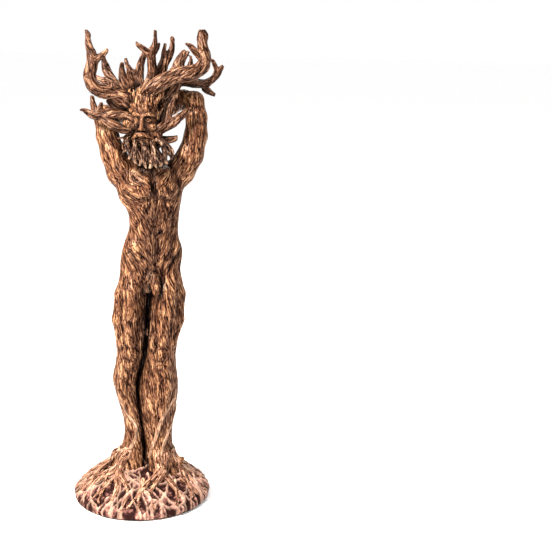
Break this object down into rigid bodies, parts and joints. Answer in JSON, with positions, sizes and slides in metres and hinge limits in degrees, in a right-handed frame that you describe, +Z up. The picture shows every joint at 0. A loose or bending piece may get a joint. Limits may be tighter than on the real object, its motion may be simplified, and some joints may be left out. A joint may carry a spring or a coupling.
{
  "type": "tree man statuette",
  "caption": "Standing tabletop statuette of a bearded tree man: branches grow from the head, arms raised behind it, and the legs run down into roots over a domed round base.",
  "frame": {"origin": "centre of the underside of the felt pad, on the table", "axes": "+Z up; -Y is the front, the way the figure faces; the figure's own right is -X"},
  "size_m": [0.0962, 0.088, 0.2991],
  "materials": {
    "figure": "satin painted resin, carved-wood grain",
    "branches": "satin painted resin, carved-wood grain",
    "beard": "satin painted resin, pale tips",
    "roots": "satin painted resin, pale tops",
    "vines": "satin painted resin",
    "ground": "rough painted resin",
    "felt": "felt",
    "steel": "plain"
  },
  "bodies": {
    "root": {"felt_pad": "felt", "base_mound": "ground", "root_01": "roots", "root_02": "roots", "root_03": "roots", "root_04": "roots", "root_05": "roots", "root_06": "roots", "root_07": "roots", "root_08": "roots", "root_09": "roots", "root_10": "roots", "root_11": "roots", "root_12": "roots", "right_leg": "figure", "left_leg": "figure", "torso": "figure", "head": "figure", "right_upper_arm": "figure", "right_forearm": "figure", "right_hand": "figure", "left_upper_arm": "figure", "left_forearm": "figure", "left_hand": "figure", "right_antler": "branches", "left_antler": "branches", "crown_branch": "branches", "crown_fork": "branches", "loop_branch": "branches", "right_spikes": "branches", "right_temple_branch": "branches", "right_ear_branch": "branches", "left_temple_branch": "branches", "left_jaw_stub": "branches", "left_rear_branch": "branches", "rear_branch_right": "branches", "rear_branch_centre": "branches", "rear_branch_left": "branches", "beard_root_1": "beard", "beard_root_2": "beard", "beard_root_3": "beard", "beard_root_4": "beard", "beard_root_5": "beard", "beard_root_6": "beard", "beard_root_7": "beard", "beard_root_8": "beard", "beard_root_9": "beard", "right_calf_vine": "vines", "left_calf_vine_high": "vines", "left_calf_vine_low": "vines", "right_leg_rod": "steel", "left_leg_rod": "steel", "neck_rod": "steel", "shoulder_pins": "steel", "branch_pins": "steel", "rod_washers": "steel", "rod_nuts": "steel"}
  },
  "joints": []
}
